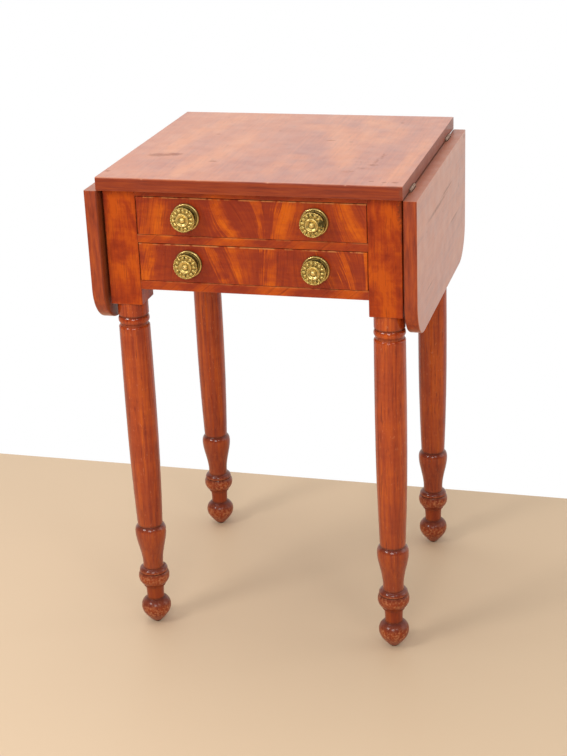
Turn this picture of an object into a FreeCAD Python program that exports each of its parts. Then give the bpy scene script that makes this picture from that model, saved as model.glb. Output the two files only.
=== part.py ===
# A small drop-leaf table of the pembroke kind: two drawers in a frame on four turned legs,
# and a leaf hinged to each side of the top, hanging down. All lengths are in millimetres.
# The floor is at height zero, the drawers face -Y, and +X is to the right of someone facing them.
import FreeCAD, Part
import math
import os

os.makedirs("parts", exist_ok=True)
Vector = FreeCAD.Vector

# Top and leaves
table_height = 730.0
top_width = 438.0
top_depth = 420.0
top_thickness = 19.0
front_overhang = 14.0
side_overhang = 4.0
leaf_width = 203.0
leaf_corner_radius = 56.0
leaf_joint_gap = 1.0
leaf_inner_rounding = 3.0
edge_rounding = 2.0

# Square posts at the heads of the legs
post_side = 48.0
post_length = 173.0
post_edge_chamfer = 0.8

# Turned part of the legs, from the floor up: the shaft takes up the height that is left
ball_height = 43.5
ball_radius = 23.0
ankle_height = 22.5
ankle_radius = 13.5
ankle_flare_radius = 14.8
collar_height = 4.0
collar_radius = 17.2
lower_bead_height = 20.2
lower_bead_radius = 24.0
bead_root_radius = 19.2
bead_groove_radius = 22.0
bead_groove_width = 1.4
bead_groove_depth = 1.3
upper_bead_height = 7.2
vase_height = 73.5
vase_radius = 23.9
vase_waist_radius = 15.7
shaft_radius = 23.3
shaft_foot_radius = 19.3
shaft_shoulder_height = 5.0
shaft_groove_width = 3.0
groove_radius = 20.8
ring_height = 11.5
ring_radius = 23.0
neck_groove_width = 2.0
neck_height = 20.5
neck_radius = 22.5

# Outlines of the turnings: share of the section's height, then share of its radius
# or, for the bead, the vase and the shaft, of the step from its smallest to its largest radius
ball_shares = ((0.0, 0.2), (0.05, 0.31), (0.15, 0.49), (0.3, 0.725), (0.46, 0.915), (0.655, 1.0),
               (0.81, 0.945), (0.925, 0.79), (1.0, 0.6))
bead_shares = (0.6, 0.78)
vase_shares = ((0.0, 0.05), (0.09, 0.0), (0.24, 0.1), (0.45, 0.45), (0.66, 0.85), (0.82, 1.0),
               (0.93, 0.86), (1.0, 0.32))
shaft_shares = ((0.0, 0.0), (0.16, 0.47), (0.36, 0.86), (0.6, 1.0), (0.84, 0.97), (1.0, 0.9))

# Front rails, and the drawer openings between them
top_rail_height = 10.0
drawer_opening_height = 56.5
middle_rail_height = 12.0
bottom_rail_height = 13.5
rail_setback = 0.5
rail_edge_rounding = 0.6
rail_tenon_length = 18.0
rail_tenon_thickness = 14.0
rail_tenon_inset = 6.0
rail_tenon_shoulder = 2.0
dovetail_length = 18.0
dovetail_root_width = 18.0
dovetail_tip_width = 26.0

# Side and back aprons
apron_thickness = 18.0
back_apron_setback = 4.0
tenon_length = 22.0
tenon_shoulder = 3.0
tenon_haunch = 14.0
mortise_end_gap = 1.0

# Outer side aprons, and the fly brackets that swing out to carry the raised leaves
outer_apron_thickness = 16.0
outer_apron_setback = 2.5
fly_height = 60.0
fly_length = 150.0
fly_pivot_offset = 30.0
fly_end_height = 18.0
fly_ogee_length = 52.0
fly_gap = 0.5
fly_end_gap = 3.0
fly_pin_radius = 2.5
fly_knuckle_count = 5

# Runners, guides, kickers and stops for the drawers
runner_reach = 33.0
runner_thickness = 11.0
guide_height = 18.0
stop_width = 30.0
stop_depth = 12.0
stop_thickness = 5.0
stop_spacing = 200.0

# Drawers
drawer_side_gap = 0.7
drawer_top_gap = 0.8
drawer_running_gap = 0.3
drawer_back_gap = 20.0
drawer_front_thickness = 20.0
drawer_front_lap = 6.0
drawer_edge_rounding = 1.0
drawer_side_thickness = 11.0
drawer_side_drop = 4.0
drawer_back_thickness = 10.0
drawer_back_drop = 4.0
drawer_bottom_thickness = 6.0
drawer_bottom_height = 8.0
drawer_groove_depth = 4.0
drawer_tail_count = 2
tail_tip_share = 0.76
tail_root_share = 0.54

# Brass knobs: a dished rose on the drawer, a waisted stem with its bolt, and a stamped face
knob_spacing = 186.0
rose_radius = 20.0
rose_floor = 1.4
rose_rim_height = 3.2
rose_rim_width = 3.4
stem_base_radius = 8.5
stem_waist_radius = 5.6
stem_head_radius = 12.0
face_radius = 18.0
face_rim_width = 2.2
face_petal_width = 6.0
face_ring_width = 4.4
face_boss_radius = 4.0
face_thickness = 6.4
face_rim_thickness = 3.0
face_petal_relief = 0.9
face_ring_thickness = 5.2
face_dish_thickness = 3.4
ring_crest_share = 0.83
knob_reach = 20.0
knob_bolt_radius = 2.4
knob_bolt_gap = 0.1
knob_bolt_tail = 1.5
nut_width = 10.0
nut_thickness = 3.5

# Table hinges: two to each leaf, let in flush under the top and behind the leaf
hinge_spacing = 294.0
hinge_length = 33.0
hinge_plate_width = 27.0
hinge_plate_thickness = 1.8
hinge_barrel_radius = 3.2
hinge_pin_radius = 1.5
hinge_running_gap = 0.05
hinge_knuckle_gap = 0.3
hinge_knuckle_count = 3
hinge_notch_gap = 0.6
hinge_screw_length = 12.0
hinge_screw_radius = 1.6
hinge_screw_head_radius = 3.1
# Screw places on a plate: share of its length from the middle, then share of its width
hinge_screw_shares = ((-0.32, 0.45), (0.0, 0.76), (0.32, 0.45))

# Screws that hold the top down, up through the top rail and the kickers
top_screw_length = 22.0
top_screw_radius = 2.0
top_screw_head_radius = 4.0
top_screw_head_height = 2.4
top_screw_rail_spacing = 200.0
top_screw_kicker_spacing = 180.0

overrun = 1.0      # how far a cutting shape runs past the face that it opens

# Places worked out from the sizes
under_top = table_height - top_thickness
top_edge_x = top_width / 2
top_edge_y = top_depth / 2
post_out_x = top_edge_x - side_overhang
post_in_x = post_out_x - post_side
post_out_y = top_edge_y - front_overhang
post_in_y = post_out_y - post_side
post_low = under_top - post_length
leg_x = post_out_x - post_side / 2
leg_y = post_out_y - post_side / 2
rail_front_y = rail_setback - post_out_y
top_rail_low = under_top - top_rail_height
upper_opening_low = top_rail_low - drawer_opening_height
middle_rail_low = upper_opening_low - middle_rail_height
lower_opening_low = middle_rail_low - drawer_opening_height
apron_low = lower_opening_low - bottom_rail_height
outer_apron_x = post_out_x - outer_apron_setback
side_apron_out_x = outer_apron_x - outer_apron_thickness
side_apron_in_x = side_apron_out_x - apron_thickness
back_apron_out_y = post_out_y - back_apron_setback
back_apron_in_y = back_apron_out_y - apron_thickness
drawer_end_y = back_apron_in_y - drawer_back_gap
drawer_half_width = post_in_x - drawer_side_gap
fly_pivot_y = -fly_pivot_offset
fly_pivot_x = side_apron_out_x + outer_apron_thickness / 2
up = Vector(0, 0, 1)
right = Vector(1, 0, 0)
back = Vector(0, 1, 0)


# Shared shapes


def box(x0, x1, y0, y1, z0, z1):
    return Part.makeBox(x1 - x0, y1 - y0, z1 - z0, Vector(x0, y0, z0))


def prism(points, travel):
    outline = Part.makePolygon(points + points[:1])
    return Part.Face(outline).extrude(travel)


def to_side(shape, side):
    # A piece is drawn for the right of the table, and mirrored for the left.
    if side > 0:
        return shape
    return shape.mirror(Vector(), right)


class Turning:
    # Half outline of a turned piece, followed from its base, in radius and height.
    def __init__(self, radius, height):
        self.start = Vector(radius, 0, height)
        self.here = self.start
        self.edges = []

    def line(self, radius, height):
        end = Vector(radius, 0, height)
        if end != self.here:
            self.edges.append(Part.makeLine(self.here, end))
        self.here = end

    def arc(self, middle_radius, middle_height, radius, height):
        end = Vector(radius, 0, height)
        middle = Vector(middle_radius, 0, middle_height)
        self.edges.append(Part.Arc(self.here, middle, end).toShape())
        self.here = end

    def curve(self, points):
        path = [self.here] + [Vector(radius, 0, height) for radius, height in points]
        spline = Part.BSplineCurve()
        spline.interpolate(path)
        self.edges.append(spline.toShape())
        self.here = path[-1]

    def solid(self):
        self.line(self.start.x, self.start.z)
        return Part.Face(Part.Wire(self.edges)).revolve(Vector(), up, 360)


def screw(head_radius, head_height, shank_radius, length):
    # A countersunk wood screw, with its head's flat at height zero and its shank upwards.
    turning = Turning(0, 0)
    turning.line(head_radius, 0)
    turning.line(shank_radius, head_height)
    turning.line(shank_radius, length - shank_radius)
    turning.line(0, length)
    return turning.solid()


# Legs


def leg_turning():
    turning = Turning(0, 0)
    section = 0
    turning.line(ball_radius * ball_shares[0][1], section)
    turning.curve([(ball_radius * wide, section + ball_height * high) for high, wide in ball_shares[1:]])
    section += ball_height
    turning.line(ankle_radius, section)
    turning.arc(ankle_radius, section + ankle_height / 2, ankle_flare_radius, section + ankle_height)
    section += ankle_height
    turning.line(collar_radius, section)
    section += collar_height
    turning.line(collar_radius, section)
    turning.line(bead_root_radius, section)
    bead_top = section + lower_bead_height
    turning.arc(lower_bead_radius, section + lower_bead_height / 2, bead_groove_radius, bead_top)
    turning.line(bead_groove_radius - bead_groove_depth, bead_top + bead_groove_width / 2)
    section = bead_top + bead_groove_width
    turning.line(bead_groove_radius, section)
    vase_step = vase_radius - vase_waist_radius
    vase_foot = vase_waist_radius + vase_step * vase_shares[0][1]
    bead_high, bead_wide = bead_shares
    swell_radius = vase_foot + (bead_groove_radius - vase_foot) * bead_wide
    swell_height = section + upper_bead_height * bead_high
    section += upper_bead_height
    turning.arc(swell_radius, swell_height, vase_foot, section)
    turning.curve([(vase_waist_radius + vase_step * wide, section + vase_height * high)
                   for high, wide in vase_shares[1:]])
    section += vase_height
    turning.line(shaft_foot_radius, section)
    ring_low = post_low - neck_height - neck_groove_width - ring_height
    shaft_end = ring_low - shaft_groove_width
    shaft_length = shaft_end - shaft_shoulder_height - section
    shaft_step = shaft_radius - shaft_foot_radius
    turning.curve([(shaft_foot_radius + shaft_step * wide, section + shaft_length * high)
                   for high, wide in shaft_shares[1:]])
    turning.curve([(turning.here.x, shaft_end - shaft_shoulder_height / 2), (groove_radius, shaft_end)])
    turning.line(groove_radius, ring_low)
    turning.arc(ring_radius, ring_low + ring_height / 2, groove_radius, ring_low + ring_height)
    turning.line(groove_radius, ring_low + ring_height + neck_groove_width)
    turning.line(neck_radius, ring_low + ring_height + neck_groove_width)
    turning.line(neck_radius, post_low)
    turning.line(0, post_low)
    return turning.solid()


def leg(side, end):
    # side is 1 on the right, and end is 1 at the back.
    half = post_side / 2
    post = box(-half, half, -half, half, post_low, under_top)
    shown = [edge for edge in post.Edges if edge.BoundBox.ZMin < (post_low + under_top) / 2]
    post = post.makeChamfer(post_edge_chamfer, shown)
    whole = post.fuse(leg_turning()).removeSplitter()
    whole.translate(Vector(leg_x, end * leg_y, 0))
    whole = whole.cut(side_tenon(end, mortise_end_gap))
    if end > 0:
        whole = whole.cut(back_tenon(mortise_end_gap))
    else:
        whole = whole.cut(top_rail_tail())
        for low, height in ((middle_rail_low, middle_rail_height), (apron_low, bottom_rail_height)):
            whole = whole.cut(rail_tenon(low, height, mortise_end_gap))
    return to_side(whole, side)


# Aprons and rails, with the tenons that the legs are mortised for


def side_tenon(end, room):
    near, far = sorted((end * post_in_y, end * (post_in_y + tenon_length + room)))
    return box(side_apron_in_x + tenon_shoulder, side_apron_out_x - tenon_shoulder, near, far,
               apron_low + tenon_haunch, under_top - tenon_haunch)


def back_tenon(room):
    return box(post_in_x, post_in_x + tenon_length + room, back_apron_in_y + tenon_shoulder,
               back_apron_out_y - tenon_shoulder, apron_low + tenon_haunch, under_top - tenon_haunch)


def rail_tenon(low, height, room):
    front = rail_front_y + rail_tenon_inset
    return box(post_in_x, post_in_x + rail_tenon_length + room, front, front + rail_tenon_thickness,
               low + rail_tenon_shoulder, low + height - rail_tenon_shoulder)


def top_rail_tail():
    root = dovetail_root_width / 2
    tip = dovetail_tip_width / 2
    far = post_in_x + dovetail_length
    outline = [Vector(post_in_x, -leg_y - root, top_rail_low), Vector(far, -leg_y - tip, top_rail_low),
               Vector(far, -leg_y + tip, top_rail_low), Vector(post_in_x, -leg_y + root, top_rail_low)]
    return prism(outline, up * top_rail_height)


def front_rail(low, height, joint):
    # joint is the tenon or tail for the right end.
    rail = box(-post_in_x, post_in_x, rail_front_y, -post_in_y, low, low + height)
    shown = [edge for edge in rail.Edges
             if edge.BoundBox.XLength > post_in_x and edge.BoundBox.YMax < -leg_y]
    rail = rail.makeFillet(rail_edge_rounding, shown)
    return rail.fuse([joint, to_side(joint, -1)]).removeSplitter()


def side_apron(side):
    apron = box(side_apron_in_x, side_apron_out_x, -post_in_y, post_in_y, apron_low, under_top)
    apron = apron.fuse([side_tenon(-1, 0), side_tenon(1, 0)]).removeSplitter()
    return to_side(apron, side)


def back_apron():
    apron = box(-post_in_x, post_in_x, back_apron_in_y, back_apron_out_y, apron_low, under_top)
    return apron.fuse([back_tenon(0), to_side(back_tenon(0), -1)]).removeSplitter()


# Fly brackets, on a wooden knuckle joint


def knuckle_levels(wanted):
    # Height of the lower end of each knuckle whose number is odd (1) or even (0).
    step = fly_height / fly_knuckle_count
    low = under_top - fly_gap - fly_height
    return [low + step * number for number in range(fly_knuckle_count) if number % 2 == wanted]


def knuckle(low, radius, gap):
    step = fly_height / fly_knuckle_count
    return Part.makeCylinder(radius, step - 2 * gap, Vector(fly_pivot_x, fly_pivot_y, low + gap))


def fly_pin_hole():
    low = under_top - fly_gap - fly_height
    return Part.makeCylinder(fly_pin_radius, fly_height, Vector(fly_pivot_x, fly_pivot_y, low))


def outer_apron(side):
    low = under_top - fly_gap - fly_height
    board = box(side_apron_out_x, outer_apron_x, -post_in_y, post_in_y, apron_low, under_top)
    pocket = box(side_apron_out_x - overrun, outer_apron_x + overrun, fly_pivot_y,
                 fly_pivot_y + fly_length + fly_end_gap, low - fly_gap, under_top + overrun)
    board = board.cut(pocket)
    radius = outer_apron_thickness / 2
    for level in knuckle_levels(0):
        board = board.fuse(knuckle(level, radius, fly_gap / 2))
    for level in knuckle_levels(1):
        board = board.cut(knuckle(level, radius + fly_gap, -fly_gap / 2))
    board = board.cut(fly_pin_hole())
    return to_side(board.removeSplitter(), side)


def fly(side):
    # The bracket's outline: a straight top, a square nose, and an ogee down to its lower edge.
    high = under_top - fly_gap
    low = high - fly_height
    nose = high - fly_end_height
    inner_x = side_apron_out_x + fly_gap
    tip_y = fly_pivot_y + fly_length
    ogee_y = tip_y - fly_ogee_length
    middle = Vector(inner_x, (tip_y + ogee_y) / 2, (nose + low) / 2)
    quarter = (tip_y - ogee_y) / 4
    drop = (nose - low) / 4
    corners = [Vector(inner_x, ogee_y, low), Vector(inner_x, fly_pivot_y, low),
               Vector(inner_x, fly_pivot_y, high), Vector(inner_x, tip_y, high), Vector(inner_x, tip_y, nose)]
    edges = [Part.makeLine(first, second) for first, second in zip(corners, corners[1:])]
    hollow = Vector(inner_x, middle.y + quarter, middle.z + drop + drop / 2)
    swell = Vector(inner_x, middle.y - quarter, middle.z - drop - drop / 2)
    edges.append(Part.Arc(corners[-1], hollow, middle).toShape())
    edges.append(Part.Arc(middle, swell, corners[0]).toShape())
    bracket = Part.Face(Part.Wire(edges)).extrude(right * (outer_apron_x - inner_x))
    radius = outer_apron_thickness / 2
    for level in knuckle_levels(0):
        bracket = bracket.cut(knuckle(level, radius + fly_gap, -fly_gap / 2))
    for level in knuckle_levels(1):
        bracket = bracket.fuse(knuckle(level, radius - fly_gap, fly_gap / 2))
    bracket = bracket.cut(fly_pin_hole())
    return to_side(bracket.removeSplitter(), side)


# Runners, kickers and stops


def runner(side, rail_top):
    inner_x = side_apron_in_x - runner_reach
    bearer = box(inner_x, side_apron_in_x, -post_in_y, post_in_y, rail_top - runner_thickness, rail_top)
    guide = box(post_in_x, side_apron_in_x, -post_in_y, post_in_y, rail_top, rail_top + guide_height)
    return to_side(bearer.fuse(guide).removeSplitter(), side)


def kicker(side):
    inner_x = side_apron_in_x - runner_reach
    strip = box(inner_x, side_apron_in_x, -post_in_y, post_in_y, top_rail_low, under_top)
    return to_side(strip, side)


def drawer_stops():
    front = rail_front_y + drawer_front_thickness + drawer_running_gap
    stops = []
    for rail_top in (upper_opening_low, lower_opening_low):
        for side in (-1, 1):
            middle = side * stop_spacing / 2
            stops.append(box(middle - stop_width / 2, middle + stop_width / 2, front, front + stop_depth,
                             rail_top, rail_top + stop_thickness))
    return stops


# Top, its screws, and the leaves


def top_board():
    board = box(-top_edge_x, top_edge_x, -top_edge_y, top_edge_y, under_top, table_height)
    edges = [edge for edge in board.Edges
             if edge.BoundBox.XLength > top_width / 2 and edge.BoundBox.ZMin > under_top]
    return board.makeFillet(edge_rounding, edges)


def top_screws():
    rail_x = top_screw_rail_spacing / 2
    kicker_x = side_apron_in_x - runner_reach / 2
    kicker_y = top_screw_kicker_spacing / 2
    places = [(side * rail_x, -leg_y) for side in (-1, 1)]
    places += [(side * kicker_x, end * kicker_y) for side in (-1, 1) for end in (-1, 1)]
    screws = []
    for x, y in places:
        shape = screw(top_screw_head_radius, top_screw_head_height, top_screw_radius, top_screw_length)
        shape.translate(Vector(x, y, top_rail_low))
        screws.append(shape)
    return screws


def leaf():
    # The right leaf as it hangs: square along the joint, and rounded at its two lower corners.
    high = under_top - leaf_joint_gap
    low = high - leaf_width
    board = box(top_edge_x, top_edge_x + top_thickness, -top_edge_y, top_edge_y, low, high)
    corners = [edge for edge in board.Edges
               if edge.BoundBox.XLength > top_thickness / 2 and edge.BoundBox.ZMax < (low + high) / 2]
    board = board.makeFillet(leaf_corner_radius, corners)
    rim = [edge for edge in board.Edges
           if edge.BoundBox.XLength < top_thickness / 2 and edge.BoundBox.ZMin < (low + high) / 2]
    middle_x = top_edge_x + top_thickness / 2
    board = board.makeFillet(edge_rounding, [edge for edge in rim if edge.BoundBox.XMin > middle_x])
    inner = [edge for edge in board.Edges
             if edge.BoundBox.XMax < middle_x and edge.BoundBox.ZMin < (low + high) / 2]
    return board.makeFillet(leaf_inner_rounding, inner)


# Hinges, drawn for the right of the table


def hinge_rod(radius, middle_y, length):
    return Part.makeCylinder(radius, length, Vector(top_edge_x, middle_y - length / 2, under_top), back)


def hinge_places():
    return (-hinge_spacing / 2, hinge_spacing / 2)


def hinge_notch(middle_y):
    return hinge_rod(hinge_barrel_radius + hinge_notch_gap, middle_y, hinge_length + 2 * hinge_notch_gap)


def top_plate_blank(middle_y):
    half = hinge_length / 2
    return box(top_edge_x - hinge_plate_width, top_edge_x, middle_y - half, middle_y + half,
               under_top, under_top + hinge_plate_thickness)


def leaf_plate_blank(middle_y):
    half = hinge_length / 2
    return box(top_edge_x, top_edge_x + hinge_plate_thickness, middle_y - half, middle_y + half,
               under_top - hinge_plate_width, under_top)


def hinge_screws(middle_y, on_leaf):
    screws = []
    for along, across in hinge_screw_shares:
        shape = screw(hinge_screw_head_radius, hinge_plate_thickness, hinge_screw_radius, hinge_screw_length)
        y = middle_y + along * hinge_length
        if on_leaf:
            shape.rotate(Vector(), back, 90)
            shape.translate(Vector(top_edge_x, y, under_top - across * hinge_plate_width))
        else:
            shape.translate(Vector(top_edge_x - across * hinge_plate_width, y, under_top))
        screws.append(shape)
    return screws


def hinge_plate(middle_y, on_leaf):
    # The top's plate carries the first, third and further odd knuckles, and the leaf's plate those between.
    knuckle_length = hinge_length / hinge_knuckle_count
    room = hinge_barrel_radius + hinge_notch_gap
    plate = leaf_plate_blank(middle_y) if on_leaf else top_plate_blank(middle_y)
    own, other = [], []
    for number in range(hinge_knuckle_count):
        list_for = own if (number % 2 == 1) == on_leaf else other
        list_for.append(middle_y - (hinge_length - knuckle_length) / 2 + number * knuckle_length)
    for y in other:
        plate = plate.cut(hinge_rod(room, y, knuckle_length + 2 * hinge_knuckle_gap))
    for y in own:
        plate = plate.fuse(hinge_rod(hinge_barrel_radius, y, knuckle_length - hinge_knuckle_gap))
    plate = plate.cut(hinge_rod(hinge_pin_radius + hinge_running_gap, middle_y, hinge_length + overrun))
    for shape in hinge_screws(middle_y, on_leaf):
        plate = plate.cut(shape)
    return plate.removeSplitter()


# Drawers


def drawer_tails(side, near_y, length, low, high):
    # Tails on a drawer side's end: wide at the tip, which lies at near_y, and narrow at the root.
    pitch = (high - low) / drawer_tail_count
    inner_x = drawer_half_width - drawer_side_thickness
    tails = []
    for number in range(drawer_tail_count):
        middle = low + pitch * number + pitch / 2
        tip = pitch * tail_tip_share / 2
        root = pitch * tail_root_share / 2
        outline = [Vector(inner_x, near_y, middle - tip), Vector(inner_x, near_y + length, middle - root),
                   Vector(inner_x, near_y + length, middle + root), Vector(inner_x, near_y, middle + tip)]
        tails.append(to_side(prism(outline, right * drawer_side_thickness), side))
    return tails


def drawer(rail_top):
    # One drawer's boards, dovetailed together, with the bottom in grooves.
    low = rail_top + drawer_running_gap
    high = rail_top + drawer_opening_height - drawer_top_gap
    side_high = high - drawer_side_drop
    bottom_low = low + drawer_bottom_height
    bottom_high = bottom_low + drawer_bottom_thickness
    back_high = side_high - drawer_back_drop
    front_in_y = rail_front_y + drawer_front_thickness
    back_in_y = drawer_end_y - drawer_back_thickness
    side_in_x = drawer_half_width - drawer_side_thickness
    tail_y = rail_front_y + drawer_front_lap
    bottom = box(-side_in_x - drawer_groove_depth, side_in_x + drawer_groove_depth,
                 front_in_y - drawer_groove_depth, drawer_end_y, bottom_low, bottom_high)
    front = box(-drawer_half_width, drawer_half_width, rail_front_y, front_in_y, low, high)
    shown = [edge for edge in front.Edges if edge.BoundBox.YMax < tail_y]
    front = front.makeFillet(drawer_edge_rounding, shown).cut(bottom)
    rear = box(-drawer_half_width, drawer_half_width, back_in_y, drawer_end_y, bottom_high, back_high)
    for side in (-1, 1):
        front = front.cut(drawer_tails(side, tail_y, front_in_y - tail_y, low, side_high))
        rear = rear.cut(drawer_tails(side, drawer_end_y, back_in_y - drawer_end_y, bottom_high, back_high))
    knob_z = (low + high) / 2
    for side in (-1, 1):
        front = front.cut(knob_bolt_hole(side * knob_spacing / 2, knob_z))
    boards = {"front": front, "back": rear, "bottom": bottom}
    for name, side in (("left_side", -1), ("right_side", 1)):
        board = to_side(box(side_in_x, drawer_half_width, tail_y, drawer_end_y, low, side_high), side)
        boards[name] = board.cut([front, rear, bottom])
    return boards, knob_z


# Knobs, turned with their base at height zero and then set on the drawer's front


def set_on_front(shape, x, z):
    shape.rotate(Vector(), right, 90)
    shape.translate(Vector(x, rail_front_y, z))
    return shape


def knob_bolt_hole(x, z):
    depth = drawer_front_thickness + overrun
    hole = Part.makeCylinder(knob_bolt_radius + knob_bolt_gap, depth + overrun, Vector(0, 0, -depth))
    return set_on_front(hole, x, z)


def knob_rose():
    turning = Turning(knob_bolt_radius + knob_bolt_gap, 0)
    turning.line(rose_radius, 0)
    turning.line(rose_radius, rose_floor)
    rim_in = rose_radius - rose_rim_width
    turning.arc(rose_radius - rose_rim_width / 2, rose_rim_height, rim_in, rose_floor)
    turning.line(knob_bolt_radius + knob_bolt_gap, rose_floor)
    return turning.solid()


def knob_stem():
    bolt_end = drawer_front_thickness + nut_thickness + knob_bolt_tail
    face_back = knob_reach - face_thickness
    turning = Turning(0, -bolt_end)
    turning.line(knob_bolt_radius, -bolt_end)
    turning.line(knob_bolt_radius, rose_floor)
    turning.line(stem_base_radius, rose_floor)
    turning.arc(stem_waist_radius, (rose_floor + face_back) / 2, stem_head_radius, face_back)
    turning.line(0, face_back)
    return turning.solid()


def knob_face():
    # A rounded rim, a swell for the petals, a ring that is dished inside, and a boss in the middle.
    face_back = knob_reach - face_thickness
    rim_top = face_back + face_rim_thickness
    dish = face_back + face_dish_thickness
    petal_out = face_radius - face_rim_width
    petal_in = petal_out - face_petal_width
    ring_in = petal_in - face_ring_width
    ring_top = face_back + face_ring_thickness
    turning = Turning(0, face_back)
    turning.line(petal_out, face_back)
    turning.arc(face_radius, (face_back + rim_top) / 2, petal_out, rim_top)
    turning.arc((petal_out + petal_in) / 2, rim_top + face_petal_relief, petal_in, rim_top)
    turning.arc(ring_in + face_ring_width * ring_crest_share, ring_top, ring_in, dish)
    turning.line(face_boss_radius, dish)
    boss_height = knob_reach - dish
    dome = (face_boss_radius ** 2 + boss_height ** 2) / (2 * boss_height)
    half_turn = math.asin(face_boss_radius / dome) / 2
    turning.arc(dome * math.sin(half_turn), knob_reach - dome + dome * math.cos(half_turn), 0, knob_reach)
    return turning.solid()


def knob_nut():
    half = nut_width / 2
    top = -drawer_front_thickness
    nut = box(-half, half, -half, half, top - nut_thickness, top)
    return nut.cut(Part.makeCylinder(knob_bolt_radius, nut_thickness, Vector(0, 0, top - nut_thickness)))


# The whole table, piece by piece

nodes = {}
for side_name, side in (("left", -1), ("right", 1)):
    nodes["leg_front_" + side_name] = leg(side, -1)
    nodes["leg_back_" + side_name] = leg(side, 1)
    nodes["side_apron_" + side_name] = side_apron(side)
    nodes["outer_apron_" + side_name] = outer_apron(side)
    nodes["fly_bracket_" + side_name] = fly(side)
    nodes["upper_runner_" + side_name] = runner(side, upper_opening_low)
    nodes["lower_runner_" + side_name] = runner(side, lower_opening_low)
    nodes["kicker_" + side_name] = kicker(side)
nodes["fly_pins"] = Part.Compound([to_side(fly_pin_hole(), side) for side in (-1, 1)])
nodes["back_apron"] = back_apron()
nodes["front_top_rail"] = front_rail(top_rail_low, top_rail_height, top_rail_tail())
middle_tenon = rail_tenon(middle_rail_low, middle_rail_height, 0)
bottom_tenon = rail_tenon(apron_low, bottom_rail_height, 0)
nodes["front_middle_rail"] = front_rail(middle_rail_low, middle_rail_height, middle_tenon)
nodes["front_bottom_rail"] = front_rail(apron_low, bottom_rail_height, bottom_tenon)
nodes["drawer_stops"] = Part.Compound(drawer_stops())

top = top_board().cut(top_screws())
for name in ("front_top_rail", "kicker_left", "kicker_right"):
    nodes[name] = nodes[name].cut(top_screws())
nodes["top_screws"] = Part.Compound(top_screws())

leaf_board = leaf()
top_plates, leaf_plates, pins, plate_screws, leaf_screws = [], [], [], [], []
for place in hinge_places():
    top_plates.append(hinge_plate(place, False))
    leaf_plates.append(hinge_plate(place, True))
    pins.append(hinge_rod(hinge_pin_radius, place, hinge_length))
    plate_screws += hinge_screws(place, False)
    leaf_screws += hinge_screws(place, True)
    leaf_board = leaf_board.cut([hinge_notch(place), leaf_plate_blank(place)])
    for side in (-1, 1):
        top = top.cut([to_side(hinge_notch(place), side), to_side(top_plate_blank(place), side)])
leaf_board = leaf_board.cut(leaf_screws)
for side_name, side in (("left", -1), ("right", 1)):
    top = top.cut([to_side(shape, side) for shape in plate_screws])
    nodes["leaf_" + side_name] = to_side(leaf_board, side)
    nodes["hinge_top_plates_" + side_name] = to_side(Part.Compound(top_plates), side)
    nodes["hinge_leaf_plates_" + side_name] = to_side(Part.Compound(leaf_plates), side)
    nodes["hinge_pins_" + side_name] = to_side(Part.Compound(pins), side)
    nodes["hinge_leaf_screws_" + side_name] = to_side(Part.Compound(leaf_screws), side)
both_sides = [to_side(shape, side) for side in (-1, 1) for shape in plate_screws]
nodes["hinge_top_screws"] = Part.Compound(both_sides)
nodes["top_board"] = top

for level_name, rail_top in (("upper", upper_opening_low), ("lower", lower_opening_low)):
    boards, knob_z = drawer(rail_top)
    for board_name, board in boards.items():
        nodes[level_name + "_drawer_" + board_name] = board
    nuts = []
    for side_name, side in (("left", -1), ("right", 1)):
        knob_x = side * knob_spacing / 2
        knob_name = level_name + "_" + side_name + "_knob_"
        nodes[knob_name + "rose"] = set_on_front(knob_rose(), knob_x, knob_z)
        nodes[knob_name + "stem"] = set_on_front(knob_stem(), knob_x, knob_z)
        nodes[knob_name + "face"] = set_on_front(knob_face(), knob_x, knob_z)
        nuts.append(set_on_front(knob_nut(), knob_x, knob_z))
    nodes[level_name + "_knob_nuts"] = Part.Compound(nuts)

for name, shape in nodes.items():
    shape.exportStep("parts/" + name + ".step")
    sound = all(solid.isValid() and solid.Volume > 0 for solid in shape.Solids)
    print(name, len(shape.Solids), "solids", round(shape.Volume), "mm3", "" if sound else "NOT SOUND")
print(len(nodes), "nodes")
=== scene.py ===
import bpy
import math
from mathutils import Matrix, Quaternion, Vector


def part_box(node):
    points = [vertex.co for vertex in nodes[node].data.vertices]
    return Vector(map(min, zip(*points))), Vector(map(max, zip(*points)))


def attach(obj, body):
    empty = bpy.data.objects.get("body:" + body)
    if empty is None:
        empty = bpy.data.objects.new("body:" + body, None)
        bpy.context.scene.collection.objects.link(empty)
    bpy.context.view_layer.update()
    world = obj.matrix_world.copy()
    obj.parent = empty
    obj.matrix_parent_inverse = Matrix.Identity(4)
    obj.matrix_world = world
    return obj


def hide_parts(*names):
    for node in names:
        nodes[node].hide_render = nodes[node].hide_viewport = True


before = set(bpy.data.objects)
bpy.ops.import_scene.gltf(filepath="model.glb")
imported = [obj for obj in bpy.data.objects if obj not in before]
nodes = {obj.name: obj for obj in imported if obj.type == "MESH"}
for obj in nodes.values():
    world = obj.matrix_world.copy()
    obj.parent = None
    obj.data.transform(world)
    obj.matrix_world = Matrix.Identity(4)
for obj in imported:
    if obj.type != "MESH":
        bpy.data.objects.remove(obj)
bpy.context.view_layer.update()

millimetre = 0.001
bpy.ops.object.select_all(action="DESELECT")
print("frame loaded with", len(nodes), "nodes")

# faces of the table that marks and patches lie on, in millimetres
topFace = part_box("top_board")[1].z / millimetre
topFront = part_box("top_board")[0].y / millimetre
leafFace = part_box("leaf_right")[1].x / millimetre
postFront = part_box("leg_front_left")[0].y / millimetre


# Camera, floor and light

cameraLook = {
    "eye": (0.6151, -2.2259, 1.2852),     # metres
    "target": (-0.0158, 0.0, 0.3567),
    "rollDegrees": -2.39,
    "lens": 75.45,                        # millimetres
    "sensor": 36.0,
}


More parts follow.
